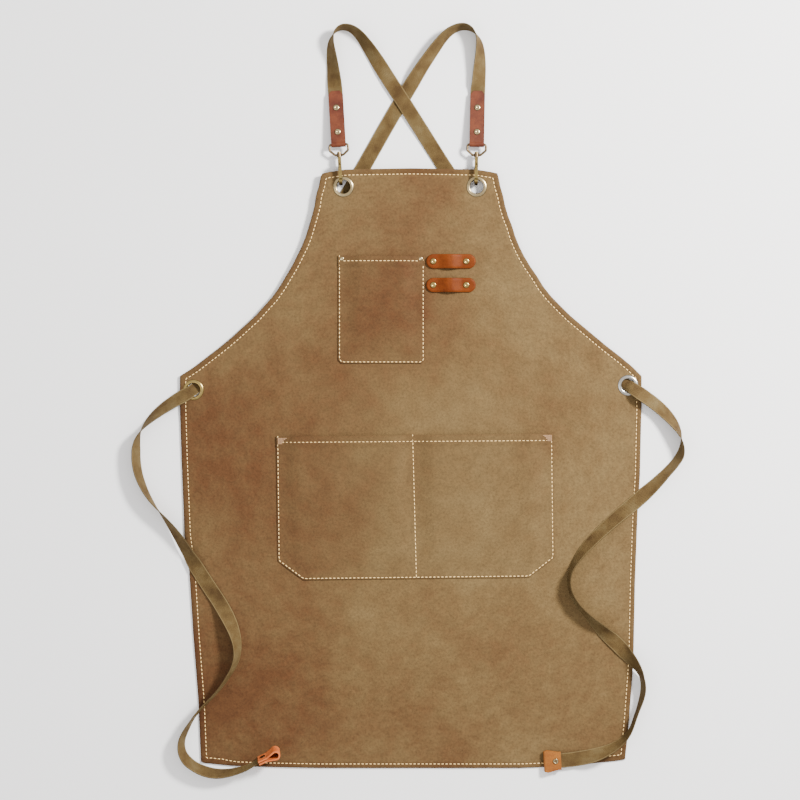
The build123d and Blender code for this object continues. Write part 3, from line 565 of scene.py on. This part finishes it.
def panel_top(x, y):
    """Height of the canvas face at a point, its soft waviness included."""
    points = np.column_stack([np.atleast_1d(x), np.atleast_1d(y)])
    wave = np.array([
        wrinkle(px, py, 9.0, 0.0005, 1.3) + wrinkle(px, py, 26.0, 0.00022, 7.7) for px, py in points])
    calm = np.ones(len(points))
    for eyelet in EYELETS.values():
        away = np.hypot(points[:, 0] - eyelet[0], points[:, 1] - eyelet[1])
        calm = np.minimum(calm, np.clip((away - 0.014) / 0.02, 0, 1))
    return base_height(points[:, 1]) + 2 * CLOTH + wave * calm


def rows_of(left, right, levels, edge_steps, interior):
    """Grid rows between two edge lines, closer together near the edges."""
    left, right = np.array(left), np.array(right)
    grid = []
    for y in levels:
        low = np.interp(y, left[:, 1], left[:, 0])
        high = np.interp(y, right[:, 1], right[:, 0])
        near = [step * min(1.0, (high - low) / (3 * edge_steps[-1])) for step in edge_steps]
        inside = np.linspace(low + near[-1], high - near[-1], interior)[1:-1]
        xs = [low + step for step in near] + list(inside) + [high - step for step in near[::-1]]
        grid.append([(x, y) for x in xs])
    return np.array(grid)


def hem_inset(x, y):
    """Distance from the edge to the hem stitches: a little less along the bottom and the right side."""
    bottom = np.clip((-0.428 - y) / 0.003, 0, 1)
    right = np.clip((x - 0.25) / 0.01, 0, 1) * np.clip((0.06 - y) / 0.03, 0, 1)
    return HEM_STITCH - np.maximum(0.002 * bottom, 0.0013 * right)


edge_steps = [0.0, 0.0007, 0.0016, 0.003, 0.0048, 0.0066, 0.0082, 0.0095, HEM_STEP]
levels = [PANEL_BOTTOM + step for step in edge_steps] + list(np.linspace(-0.425, 0.326, 212))
levels += [PANEL_TOP - step for step in edge_steps[::-1] if step < HEM_STEP]
columns = rows_of(LEFT_EDGE, RIGHT_EDGE, levels, edge_steps, 150)
points = columns.reshape(-1, 2)
rim = edge_distance(points, OUTLINE)
top = panel_top(points[:, 0], points[:, 1])
from_stitches = rim - hem_inset(*points.T)
top += 0.00035 * groove(rim - HEM_CREST, 0.0026)
top -= 0.00055 * groove(from_stitches, 0.0011)
top -= 0.0009 * np.clip(1 - rim / 0.0012, 0, 1) ** 2
under = top - 2 * CLOTH + CLOTH * np.clip((rim - HEM_DEPTH) / 0.0009, 0, 1)
under = np.maximum(under, base_height(points[:, 1]) + 0.00005)
under += 0.0007 * groove(from_stitches, 0.001) * (rim < HEM_DEPTH)
for x, y, _ in EYELETS.values():
    close = np.hypot(points[:, 0] - x, points[:, 1] - y) < 0.0148
    under[close] = base_height(points[close, 1]) + CLOTH
panel = grid_shell("canvas_panel", columns, top, under, CANVAS)
point_values(panel, "tone", np.tile(worn(points), 2))
point_values(panel, "hem", np.tile(np.clip((HEM_STITCH + 0.001 - rim) / 0.002, 0, 1), 2))

cutter = bmesh.new()
cutter.from_mesh(panel.data)
for x, y, _ in EYELETS.values():
    centre = Vector((x, y))
    gone = [f for f in cutter.faces if (f.calc_center_median().xy - centre).length < HOLE - 0.0003]
    ring = {v for f in gone for v in f.verts}
    bmesh.ops.delete(cutter, geom=gone, context="FACES")
    for v in ring:
        if v.is_valid and v.link_faces:
            reach = math.hypot(v.co.x - x, v.co.y - y)
            v.co.x = x + (v.co.x - x) * HOLE / reach
            v.co.y = y + (v.co.y - y) * HOLE / reach
loose = [v for v in cutter.verts if not v.link_faces]
bmesh.ops.delete(cutter, geom=loose, context="VERTS")
cutter.to_mesh(panel.data)
cutter.free()
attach(panel, "apron")
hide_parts("apron_panel")


# ------------------------------------------------------------------ pockets

def pocket_hump(lx, ly, width, height, room):
    """How far a pocket stands off the panel, from zero at its sewn edges to the open mouth."""
    side = np.minimum(width / 2 - np.abs(lx), ly + height / 2) - 0.006
    return room * ease(np.clip(side / 0.026, 0, 1))


def divider_x(ly):
    """The slightly slanted line that parts the lower pocket."""
    return -0.00195 - 0.015 * (ly - 0.05)


def chest_offset(lx, ly):
    width, height = CHEST[2:]
    rise = np.clip(0.25 + 0.75 * (ly + height / 2) / height, 0, 1)
    return pocket_hump(lx, ly, width, height, 0.0046) * rise


def lower_offset(lx, ly):
    width, height = LOWER[2:]
    middle = ease(np.clip((np.abs(lx - divider_x(ly)) - 0.003) / 0.024, 0, 1))
    rise = np.clip(0.3 + 0.7 * (ly + height / 2) / height, 0, 1)
    return pocket_hump(lx, ly, width, height, 0.0044) * middle * rise


def pocket_place(lx, ly, spec, turn):
    """From a pocket's own middle to the shared frame."""
    return (
        spec[0] + lx * math.cos(turn) - ly * math.sin(turn),
        spec[1] + lx * math.sin(turn) + ly * math.cos(turn),
    )


def pocket_height(lx, ly, spec, turn, offset):
    x, y = pocket_place(lx, ly, spec, turn)
    spots = zip(np.atleast_1d(x), np.atleast_1d(y))
    crease = np.array([wrinkle(a, b, 34.0, 0.0003, 3.1) for a, b in spots])
    stand = offset(lx, ly)
    return base_height(y) + 2 * CLOTH + 2 * POCKET_LIFT + stand + crease * np.clip(stand / 0.002, 0, 1)


def make_pocket(name, spec, turn, offset, cut, node, hem_line):
    """Patch with cut lower corners and a hemmed mouth, sewn down on three sides."""
    half_w, half_h = spec[2] / 2, spec[3] / 2
    left = [(-half_w + cut[0], -half_h), (-half_w, -half_h + cut[1]), (-half_w, half_h)]
    right = [(-x, y) for x, y in left]
    steps = [0.0, 0.0006, 0.0016, 0.003, 0.0044, 0.006, 0.009]
    spread = list(np.linspace(-half_h + 0.012, half_h - 0.020, 46))
    mouth_steps = (0.017, 0.0145, 0.0125, 0.010, 0.008, 0.0064, 0.005, 0.003, 0.0015, 0.0)
    top_rows = [half_h - step for step in mouth_steps]
    rows = [-half_h + step for step in steps] + spread + top_rows
    local = rows_of(left, right, rows, steps, max(46, int(spec[2] / 0.004)))
    flat = local.reshape(-1, 2)
    lx, ly = flat[:, 0], flat[:, 1]
    x, y = pocket_place(lx, ly, spec, turn)
    outline = left + [(half_w, half_h)] + right[::-1][1:]
    rim = edge_distance(flat, outline)
    under = pocket_height(lx, ly, spec, turn, offset)
    face = under + CLOTH
    face += 0.0008 * np.clip((ly - half_h + POCKET_HEM) / 0.0012, 0, 1)
    face -= 0.0005 * groove(half_h - ly - hem_line, 0.001)
    sewn = np.minimum(half_w - np.abs(lx), ly + half_h)
    face -= 0.0004 * groove(sewn - POCKET_STITCH, 0.0009)
    face -= 0.0006 * np.clip(1 - rim / 0.0009, 0, 1) ** 2
    if node == "lower_pocket":
        face -= 0.0005 * groove(lx - divider_x(ly), 0.0012)
    world_points = np.column_stack([x, y]).reshape(local.shape)
    obj = grid_shell(name, world_points, face, under, POCKET_CANVAS)
    tone = worn(np.column_stack([x, y]))
    point_values(obj, "tone", np.tile(np.clip(tone - 0.03, 0, 1), 2))
    hem = np.clip((ly - half_h + POCKET_HEM) / 0.002, 0, 1) * 0.35
    hem = np.maximum(hem, np.clip((0.0035 - rim) / 0.002, 0, 1) * 0.8)
    point_values(obj, "hem", np.tile(hem, 2))
    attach(obj, "apron")
    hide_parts(node)
    return obj


chest = make_pocket("chest_patch", CHEST, 0.0, chest_offset, (0.004, 0.004), "chest_pocket", 0.0064)
lower = make_pocket("lower_patch", LOWER, LOWER_TURN, lower_offset, (0.033, 0.025), "lower_pocket", 0.009)


# ------------------------------------------------------------------ stitching

def resample(path, step):
    """Points a fixed step apart along a path."""
    path = np.asarray(path, dtype=float)
    lengths = np.concatenate([[0], np.cumsum(np.hypot(*np.diff(path, axis=0).T))])
    marks = np.arange(0, lengths[-1], step)
    return np.column_stack([np.interp(marks, lengths, path[:, i]) for i in (0, 1)])


def inset_line(outline, distance):
    """Closed line a fixed distance inside an outline."""
    closed = resample(np.vstack([outline, outline[:1]]), 0.001)
    run = np.roll(closed, -1, axis=0) - np.roll(closed, 1, axis=0)
    run /= np.maximum(np.hypot(*run.T), 1e-9)[:, None]
    inner = closed + np.column_stack([-run[:, 1], run[:, 0]]) * distance
    kept = edge_distance(inner, outline) > distance * 0.985
    return np.vstack([inner[kept], inner[kept][:1]])


def stitches(name, lines, material=THREAD, thick=0.0011, length=STITCH_LENGTH, pitch=STITCH_PITCH):
    """Rows of short thread bars. Each line is (points, height function, side up or down)."""
    verts, faces = [], []
    rings = [(-0.5, 0.25), (-0.36, 0.85), (0.0, 1.0), (0.36, 0.85), (0.5, 0.25)]
    for path, height, up in lines:
        spots = resample(path, pitch)
        if len(spots) < 2:
            continue
        runs = np.gradient(spots, axis=0)
        levels = height(spots[:, 0], spots[:, 1])
        for (x, y), (dx, dy), z in zip(spots, runs, levels):
            size = math.hypot(dx, dy) or 1.0
            dx, dy = dx / size, dy / size
            sway = 0.16 * noise.noise(Vector((x * 700, y * 700, 0.5)))
            dx, dy = dx - dy * sway, dy + dx * sway
            start = len(verts)
            for along, swell in rings:
                for k in range(6):
                    turn = k * math.pi / 3
                    side = math.cos(turn) * thick / 2 * swell
                    lift = math.sin(turn) * thick / 2 * swell * 0.8
                    verts.append((
                        x + dx * along * length - dy * side,
                        y + dy * along * length + dx * side,
                        z + up * (0.0001 + lift)))
            for r in range(len(rings) - 1):
                for k in range(6):
                    a, b = start + r * 6 + k, start + r * 6 + (k + 1) % 6
                    faces.append((a, b, b + 6, a + 6))
            faces.append(tuple(start + k for k in range(5, -1, -1)))
            faces.append(tuple(start + 24 + k for k in range(6)))
    obj = make_object(name, verts, faces, material)
    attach(obj, "apron")


def on_pocket(spec, turn, offset, extra=0.0):
    """Height function for thread on a pocket's face."""
    def height(x, y):
        dx, dy = x - spec[0], y - spec[1]
        lx = dx * math.cos(turn) + dy * math.sin(turn)
        ly = -dx * math.sin(turn) + dy * math.cos(turn)
        return pocket_height(lx, ly, spec, turn, offset) + CLOTH + extra
    return height


def pocket_path(spec, turn, local):
    return [pocket_place(x, y, spec, turn) for x, y in local]


def sewn_line(spec, inset, across, up):
    """Stitch line down one side of a pocket, round its cut corners and up the other side."""
    half_w, half_h = spec[2] / 2, spec[3] / 2
    left = [
        (-half_w + inset, half_h - 0.001), (-half_w + inset, -half_h + up),
        (-half_w + across, -half_h + inset)]
    return left + [(-x, y) for x, y in left[::-1]]


hem_path = inset_line(np.array(OUTLINE), HEM_STITCH)
closer = HEM_STITCH - hem_inset(*hem_path.T)
low_edge = hem_path[:, 1] < -0.4285
hem_path[low_edge, 1] -= closer[low_edge]
hem_path[~low_edge, 0] += closer[~low_edge]
stitches("hem_stitching", [(hem_path, panel_top, 1)])
stitches("hem_stitching_back", [(hem_path, lambda x, y: base_height(y) + 0.0005, -1)], thick=0.0008)

cw, ch = CHEST[2] / 2, CHEST[3] / 2
chest_top = [(-cw + 0.0085, ch - 0.0064), (cw - 0.0085, ch - 0.0064)]
lw, lh = LOWER[2] / 2, LOWER[3] / 2
lower_top = [(-lw + 0.004, lh - 0.0076), (lw - 0.004, lh - 0.009)]
divider = [(divider_x(y), y) for y in (lh - 0.001, -lh + 0.004)]
on_chest = on_pocket(CHEST, 0.0, chest_offset)
on_lower = on_pocket(LOWER, LOWER_TURN, lower_offset)
hemmed_chest = on_pocket(CHEST, 0.0, chest_offset, 0.0004)
hemmed_lower = on_pocket(LOWER, LOWER_TURN, lower_offset, 0.0004)
chest_line = pocket_path(CHEST, 0.0, sewn_line(CHEST, 0.002, 0.0052, 0.0052))
lower_line = pocket_path(LOWER, LOWER_TURN, sewn_line(LOWER, 0.0022, 0.0337, 0.0261))
divider_line = pocket_path(LOWER, LOWER_TURN, divider)
stitches("pocket_stitching", [
    (chest_line, on_chest, 1),
    (pocket_path(CHEST, 0.0, chest_top), hemmed_chest, 1),
    (lower_line, on_lower, 1),
    (pocket_path(LOWER, LOWER_TURN, lower_top), hemmed_lower, 1),
    (divider_line, on_lower, 1),
])
stitches("pocket_stitching_back", [
    (line, lambda x, y: base_height(y) + CLOTH - 0.0001, -1)
    for line in (chest_line, lower_line, divider_line)], thick=0.0008)

tacked_lower = on_pocket(LOWER, LOWER_TURN, lower_offset, 0.0011)
tacks = []
for sign in (-1, 1):
    for row in range(6):
        reach = 0.0085 * (1 - row / 7)
        y = lh - 0.0025 - row * 0.0014
        tacks.append((pocket_path(LOWER, LOWER_TURN, [
            (sign * (lw - 0.003), y), (sign * (lw - 0.003 - reach - 0.0015), y)]), tacked_lower, 1))
stitches("corner_tacks", tacks, BAR_THREAD, 0.0014, 0.0024, 0.0019)


# ------------------------------------------------------------------ eyelets, rivets

def seat_matrix(x, y, lift):
    """Place of a turned piece on the bib's slope, a given height above the base."""
    return Matrix.Translation((x, y, float(base_height(y)) + lift)) @ Matrix.Rotation(BIB_SLOPE, 4, "X")


def lathe_points(seat, profile, steps=56):
    """A profile of (radius, height) turned about the seat's axis."""
    verts, faces = [], []
    for k in range(steps):
        turn = 2 * math.pi * k / steps
        for radius, z in profile:
            verts.append(seat @ Vector((radius * math.cos(turn), radius * math.sin(turn), z)))
    wide = len(profile)
    for k in range(steps):
        for j in range(wide - 1):
            a, b = k * wide + j, ((k + 1) % steps) * wide + j
            faces.append((a, b, b + 1, a + 1))
    return verts, faces


def lathe_set(name, seats, profile, material, node):
    verts, faces = [], []
    for seat in seats:
        more, shapes = lathe_points(seat, profile)
        faces += [tuple(i + len(verts) for i in shape) for shape in shapes]
        verts += more
    obj = make_object(name, verts, faces, material)
    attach(obj, "apron")
    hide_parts(node)


def mm(profile):
    """Profile given in millimetres."""
    return [(r / 1000, z / 1000) for r, z in profile]


eyelet_profile = mm([
    (9.8, -0.6), (8.8, -0.6), (8.75, 0.4), (8.8, 1.6), (8.95, 2.1), (9.4, 2.45), (10.1, 2.62), (11.0, 2.6),
    (12.0, 2.35), (12.8, 1.95), (13.3, 1.55), (13.5, 1.28), (13.4, 1.21), (9.8, 1.21), (9.8, -0.6)])
for name, (x, y, metal) in EYELETS.items():
    plain_metal = "nickel" if metal == "nickel" else "brass"
    seat = seat_matrix(x, y, CLOTH)
    lathe_set(f"eyelet_{name}", [seat], eyelet_profile, METALS[metal], f"grommet_{name}")
    bevelled(f"washer_{name}", METALS[plain_metal], 0.00012)

rivet_profile = mm([
    (4.0, 0.0), (4.0, 0.45), (3.8, 0.85), (3.2, 1.2), (2.4, 1.42), (1.7, 1.5), (1.35, 1.38), (1.1, 1.2),
    (0.6, 1.12), (0.0, 1.1)])
small_profile = [(r * 0.7, z * 0.8) for r, z in rivet_profile]
loop_seats = [
    seat_matrix(x, y, 2 * CLOTH + POCKET_LIFT + LOOP_LEATHER_THICK)
    for y in LOOP_ROWS.values() for x in LOOP_RIVETS_X]
lathe_set("loop_rivets", loop_seats, rivet_profile, METALS["brass"], "tool_loop_rivet_caps")
chest_seats = [
    seat_matrix(CHEST[0] + dx, CHEST[1] + CHEST_RIVET_RISE, 3 * CLOTH + 2 * POCKET_LIFT)
    for dx in (-CHEST_RIVET_REACH, CHEST_RIVET_REACH)]
lathe_set(
    "chest_rivets", chest_seats, small_profile, METALS["pale_brass"], "chest_pocket_rivet_caps")
for side, (x, y, lean) in SIDES.items():
    fold = Matrix.Translation((x, y, AXIS_HEIGHT)) @ Matrix.Rotation(math.radians(lean), 4, "Z")
    slope = fold @ Matrix.Rotation(TAB_SLOPE, 4, "X")
    seats = [slope @ Matrix.Translation((0, along, TAB_FACE)) for along in TAB_RIVETS]
    caps = f"tab_{side}_rivet_caps"
    lathe_set(f"tab_rivets_{side}", seats, rivet_profile, METALS["pale_brass"], caps)

for owner in ("tool_loop", "chest_pocket", "tab_left", "tab_right"):
    bevelled(f"{owner}_rivet_posts", METALS["brass"], 0.00015)
for side in SIDES:
    for node in ("hook_body", "hook_gate", "swivel_post"):
        bevelled(f"{node}_{side}", METALS["brass"], 0.0002 if node == "swivel_post" else 0.0008, 4)
    bevelled(f"swivel_eye_{side}", METALS["old_brass"], 0.0002, 3)
    bevelled(f"gate_pin_{side}", METALS["nickel"], 0.0001)
    bevelled(f"strap_tab_{side}", TAB_LEATHER, 0.0006, 3)
    # The straps cross, so the right strap's tip lies at the lower left.
    tip_leather = LEFT_TIP_LEATHER if side == "right" else RIGHT_TIP_LEATHER
    bevelled(f"tie_tip_{side}", tip_leather, 0.0006, 3)
    bevelled(f"tie_tip_rivet_{side}", METALS["old_brass"], 0.0002)


def loop_strip(name, centre_y):
    """Leather strip with round ends, riveted flat at both ends and arched between."""
    half, wide = 0.0321, 0.0093
    cells = []
    for s in np.concatenate([[0.0, 0.012, 0.04], np.linspace(0.08, 0.92, 60), [0.96, 0.988, 1.0]]):
        x = -half + 2 * half * s
        over = max(abs(x) - (half - wide), 0.0)
        reach = math.sqrt(max(wide * wide - over * over, 1e-8))
        cells.append([(LOOP_CENTRE_X + x, centre_y + reach * v) for v in (
            -1.0, -0.96, -0.9, -0.6, -0.3, 0.0, 0.3, 0.6, 0.9, 0.96, 1.0)])
    cells = np.array(cells)
    flat = cells.reshape(-1, 2)
    x, y = flat[:, 0] - LOOP_CENTRE_X, flat[:, 1] - centre_y
    up = ease(np.clip((x + 0.0185) / 0.016, 0, 1))
    down = ease(np.clip((0.0157 - x) / 0.016, 0, 1))
    low = base_height(flat[:, 1]) + 2 * CLOTH + POCKET_LIFT + 0.0036 * up * down
    reach = np.sqrt(np.maximum(wide ** 2 - np.maximum(np.abs(x) - (half - wide), 0) ** 2, 1e-8))
    rim = np.minimum(reach - np.abs(y), half - np.abs(x))
    high = low + LOOP_LEATHER_THICK - 0.0009 * np.clip(1 - rim / 0.0011, 0, 1) ** 2
    obj = grid_shell(f"loop_{name}", cells, high, low, LOOP_LEATHER)
    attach(obj, "apron")
    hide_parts(f"tool_loop_{name}")


for name, row_y in LOOP_ROWS.items():
    loop_strip(name, row_y)
ring = mm([(3.3, 0.0), (3.3, 0.3), (2.9, 0.55), (2.3, 0.55), (1.8, 0.3), (1.7, 0.0)])
verts, faces = lathe_points(Matrix.Translation(TIE_RIVET), ring, 40)
tip_ring = make_object("tie_rivet_ring", verts, faces, METALS["pale_brass"])
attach(tip_ring, "apron")


# ------------------------------------------------------------------ webbing straps

def smooth_line(name, centres):
    """Points of a smooth curve that starts and ends at the centres and passes near the others."""
    curve = bpy.data.curves.new(name, "CURVE")
    curve.dimensions = "3D"
    curve.resolution_u = 6
    spline = curve.splines.new("NURBS")
    spline.points.add(len(centres) - 1)
    for point, centre in zip(spline.points, centres):
        point.co = (*centre, 1.0)
    spline.order_u = 3
    spline.use_endpoint_u = True
    guide = bpy.data.objects.new(name, curve)
    bpy.context.scene.collection.objects.link(guide)
    bpy.context.view_layer.update()
    mesh = bpy.data.meshes.new_from_object(guide)
    line = np.array([tuple(v.co) for v in mesh.vertices])
    bpy.data.meshes.remove(mesh)
    bpy.data.objects.remove(guide)
    bpy.data.curves.remove(curve)
    return line


def strap(side, route):
    """Ribbon along a smooth line near the route; its lean and width follow the route rows."""
    centres = []
    for x, y, rest, turn, width in route:
        lean = math.radians(turn)
        centres.append((x, y, rest + abs(math.sin(lean)) * width / 2 + abs(math.cos(lean)) * WEBBING / 2))
    line = smooth_line(f"route_{side}", centres)

    # The curve turns evenly: each inner point of the route holds the middle of one span.
    spans = len(route) - 2
    stations = np.array([0.0] + [i + 0.5 for i in range(spans)] + [float(spans)])
    share = np.linspace(0, spans, len(line))
    turns = np.radians(np.interp(share, stations, [row[3] for row in route]))
    widths = np.interp(share, stations, [row[4] for row in route])
    runs = np.gradient(line, axis=0)
    runs /= np.linalg.norm(runs, axis=1)[:, None]
    along = np.concatenate([[0], np.cumsum(np.linalg.norm(np.diff(line, axis=0), axis=1))])

    profile = [-1.0, -0.97, -0.88, -0.6, -0.3, 0.0, 0.3, 0.6, 0.88, 0.97, 1.0]
    verts, uvs = [], []
    for point, run, turn, width, done in zip(line, runs, turns, widths, along):
        level = np.array([-run[1], run[0], 0.0])
        level /= np.linalg.norm(level)
        rise = np.cross(run, level)
        across = math.cos(turn) * level + math.sin(turn) * rise
        normal = np.cross(run, across)
        cup = 0.00025 + 0.45 * max(0.019 - width, 0.0)
        for face in (1, -1):
            for s in profile:
                thick = WEBBING / 2 * (0.55 if abs(s) == 1.0 else 1.0)
                bow = cup * (1 - s * s)
                spot = point + across * s * width / 2 + normal * (face * thick + bow - cup * 0.5)
                # Neither face sinks into the floor where the webbing lies on it.
                spot[2] = max(spot[2], 0.0001 if face * normal[2] < 0 else 0.0006)
                verts.append(spot)
                uvs.append((done, 0.5 + s / 2))
    wide = len(profile)
    ring = 2 * wide
    faces = []
    for r in range(len(line) - 1):
        a = r * ring
        for c in range(wide - 1):
            faces.append((a + c, a + c + 1, a + ring + c + 1, a + ring + c))
            faces.append((a + wide + c + 1, a + wide + c, a + ring + wide + c, a + ring + wide + c + 1))
        for c, d in ((0, wide), (2 * wide - 1, wide - 1)):
            faces.append((a + c, a + ring + c, a + ring + d, a + d))
    end = (len(line) - 1) * ring
    for c in range(wide - 1):
        faces.append((c + 1, c, wide + c, wide + c + 1))
        faces.append((end + c, end + c + 1, end + wide + c + 1, end + wide + c))
    obj = make_object(f"webbing_{side}", verts, faces, WEB)
    layer = obj.data.uv_layers.new(name="run")
    for loop in obj.data.loops:
        layer.data[loop.index].uv = uvs[loop.vertex_index]
    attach(obj, "apron")
    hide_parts(f"strap_{side}")


strap("left", left_strap_route)
strap("right", right_strap_route)


# ------------------------------------------------------------------ floor

floor_corners = [(x, y, -0.0002) for x, y in ((-2.5, -2.5), (2.5, -2.5), (2.5, 2.5), (-2.5, 2.5))]
floor = make_object("floor", floor_corners, [(0, 1, 2, 3)], floor_material(), False)
